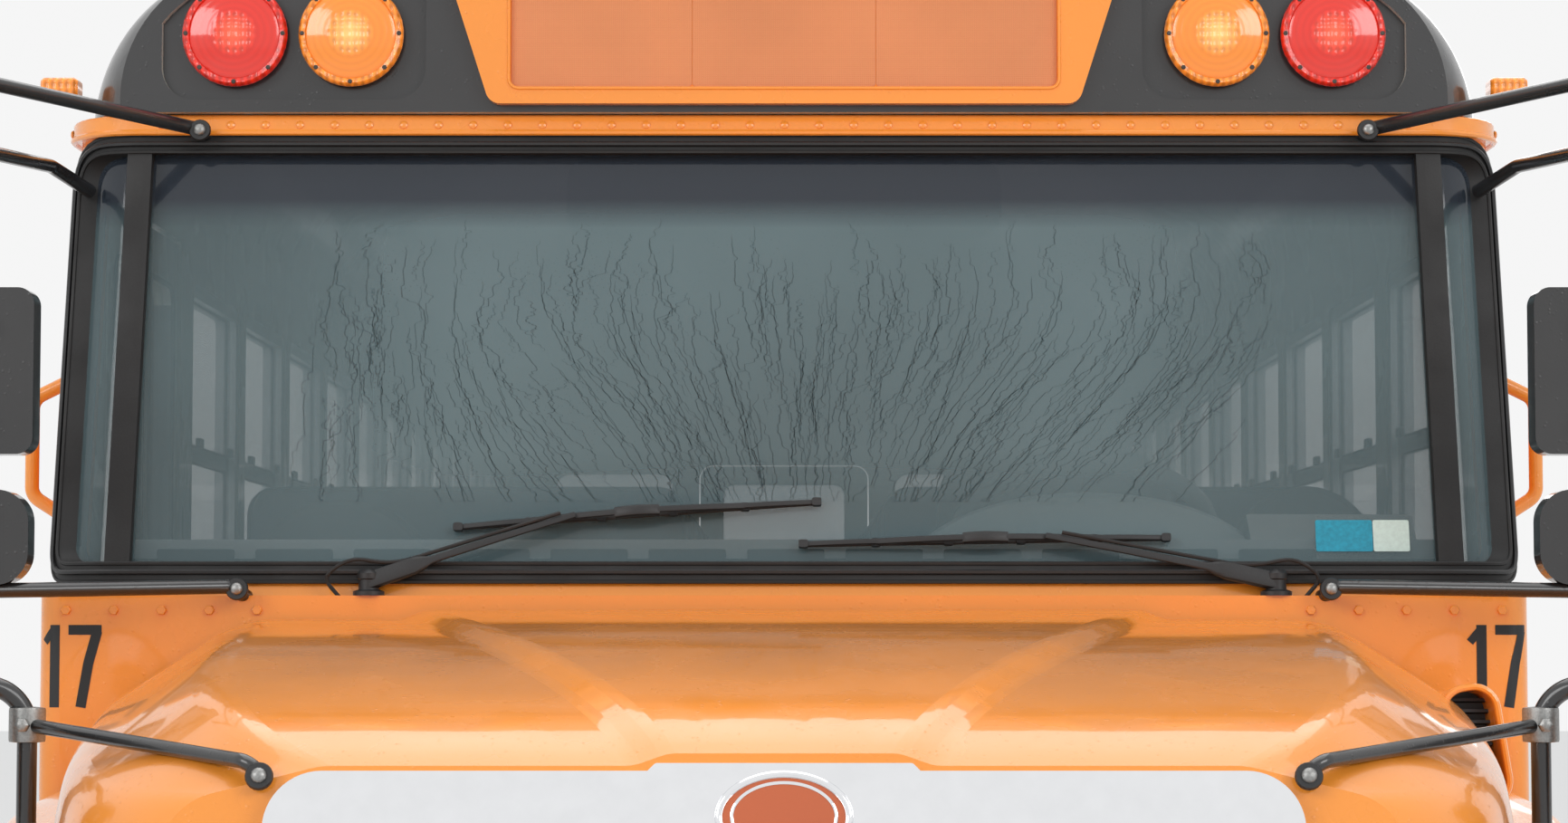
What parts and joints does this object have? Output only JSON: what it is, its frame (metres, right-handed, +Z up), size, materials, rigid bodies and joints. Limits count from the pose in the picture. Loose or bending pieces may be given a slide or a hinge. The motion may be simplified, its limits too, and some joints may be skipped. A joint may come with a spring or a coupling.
{
  "type": "school bus",
  "caption": "Bonneted school bus: tilting hood, split entrance door, rear emergency door, stop arm, steering front axle, twin rear wheels, rows of benches inside.",
  "frame": {"origin": "centre of the overall box on the ground", "axes": "-Y forward, +Z up, +X towards the driver's side (the bus's own left)"},
  "size_m": [2.75, 11.2, 3.125],
  "materials": {
    "school_yellow": "gloss",
    "black_paint": "satin",
    "chassis_black": "satin",
    "clear_glass": "polished",
    "black_rubber": "matt",
    "tyre_rubber": "matt",
    "wheel_steel": "satin",
    "bright_metal": "polished",
    "iron": "rough",
    "plain_steel": "satin",
    "frame_aluminium": "satin",
    "red_lens": "gloss",
    "amber_lens": "gloss",
    "clear_lens": "gloss",
    "sign_red": "satin",
    "seat_vinyl": "satin",
    "dash_plastic": "matt",
    "roof_white": "gloss"
  },
  "bodies": {
    "chassis": {"chassis_frame": "chassis_black", "front_axle": "chassis_black", "springs": "chassis_black", "rear_axle": "chassis_black", "engine_block": "iron", "driveline": "iron", "radiator": "chassis_black", "fuel_tank": "plain_steel", "exhaust": "plain_steel", "mud_flaps": "black_rubber", "bumpers": "black_paint", "rear_body": "school_yellow", "body_glass": "clear_glass", "window_frames": "frame_aluminium", "floor": "black_paint", "side_wall_left": "school_yellow", "side_wall_right": "school_yellow", "rub_rails": "black_paint", "entrance_steps": "black_rubber", "grab_handles": "school_yellow", "roof": "roof_white", "roof_hatches": "frame_aluminium", "front_cap": "black_paint", "sign_housing": "school_yellow", "cowl": "school_yellow", "drip_rail": "school_yellow", "windshield_seal": "black_rubber", "windshield": "clear_glass", "red_lamps": "red_lens", "amber_lamps": "amber_lens", "side_mirrors": "black_paint", "wipers": "black_paint", "stop_arm_hinge": "black_paint", "seat_pads": "seat_vinyl", "seat_frames": "chassis_black", "seat_legs": "chassis_black", "dashboard": "dash_plastic"},
    "hood_assembly": {"hood": "school_yellow", "grille": "bright_metal", "headlamps": "clear_lens", "crossview_mirrors": "black_paint"},
    "door_front_leaf": {"service_door_front": "black_paint", "service_door_front_glass": "clear_glass"},
    "door_rear_leaf": {"service_door_rear": "black_paint", "service_door_rear_glass": "clear_glass"},
    "rear_door": {"emergency_door": "school_yellow", "emergency_door_glass": "clear_glass"},
    "stop_sign": {"stop_arm": "sign_red"},
    "steering_left": {"knuckle_left": "iron"},
    "steering_right": {"knuckle_right": "iron"},
    "steering_rod": {"track_rod": "chassis_black"},
    "wheel_front_left": {"front_tyre_left": "tyre_rubber", "front_wheel_left": "wheel_steel"},
    "wheel_front_right": {"front_tyre_right": "tyre_rubber", "front_wheel_right": "wheel_steel"},
    "wheels_rear_left": {"rear_tyres_left": "tyre_rubber", "rear_wheels_left": "wheel_steel"},
    "wheels_rear_right": {"rear_tyres_right": "tyre_rubber", "rear_wheels_right": "wheel_steel"}
  },
  "joints": [
    {"name": "hood_tilt", "type": "hinge", "parent": "chassis", "child": "hood_assembly", "pos_m": [0, -5.385, 0.8], "axis": [1, 0, 0], "range_deg": [0, 65]},
    {"name": "entrance_door_front", "type": "hinge", "parent": "chassis", "child": "door_front_leaf", "pos_m": [-1.1975, -3.734, 1.4], "axis": [0, 0, 1], "range_deg": [0, 90]},
    {"name": "entrance_door_rear", "type": "hinge", "parent": "chassis", "child": "door_rear_leaf", "pos_m": [-1.1975, -3.006, 1.4], "axis": [0, 0, -1], "range_deg": [0, 90]},
    {"name": "emergency_door_swing", "type": "hinge", "parent": "chassis", "child": "rear_door", "pos_m": [-0.37, 5.465, 1.725], "axis": [0, 0, 1], "range_deg": [0, 110]},
    {"name": "stop_sign_swing", "type": "hinge", "parent": "chassis", "child": "stop_sign", "pos_m": [1.25, -2.94, 1.48], "axis": [0, 0, -1], "range_deg": [0, 90]},
    {"name": "steer_left", "type": "hinge", "parent": "chassis", "child": "steering_left", "pos_m": [0.85, -4.55, 0.515], "axis": [0, 0, 1], "range_deg": [-40, 40]},
    {"name": "steer_right", "type": "hinge", "parent": "chassis", "child": "steering_right", "pos_m": [-0.85, -4.55, 0.515], "axis": [0, 0, 1], "range_deg": [-40, 40]},
    {"name": "track_rod_pivot", "type": "hinge", "parent": "steering_left", "child": "steering_rod", "pos_m": [0.85, -4.36, 0.396], "axis": [0, 0, 1], "range_deg": [-40, 40]},
    {"name": "spin_front_left", "type": "hinge", "parent": "steering_left", "child": "wheel_front_left", "pos_m": [1, -4.55, 0.525], "axis": [1, 0, 0], "continuous": true},
    {"name": "spin_front_right", "type": "hinge", "parent": "steering_right", "child": "wheel_front_right", "pos_m": [-1, -4.55, 0.525], "axis": [1, 0, 0], "continuous": true},
    {"name": "spin_rear_left", "type": "hinge", "parent": "chassis", "child": "wheels_rear_left", "pos_m": [0.895, 1.9, 0.525], "axis": [1, 0, 0], "continuous": true},
    {"name": "spin_rear_right", "type": "hinge", "parent": "chassis", "child": "wheels_rear_right", "pos_m": [-0.895, 1.9, 0.525], "axis": [1, 0, 0], "continuous": true}
  ],
  "couplings": [
    {"joint": "entrance_door_rear", "follows": "entrance_door_front", "ratio": 1},
    {"joint": "steer_right", "follows": "steer_left", "ratio": 1},
    {"joint": "track_rod_pivot", "follows": "steer_left", "ratio": -1}
  ]
}
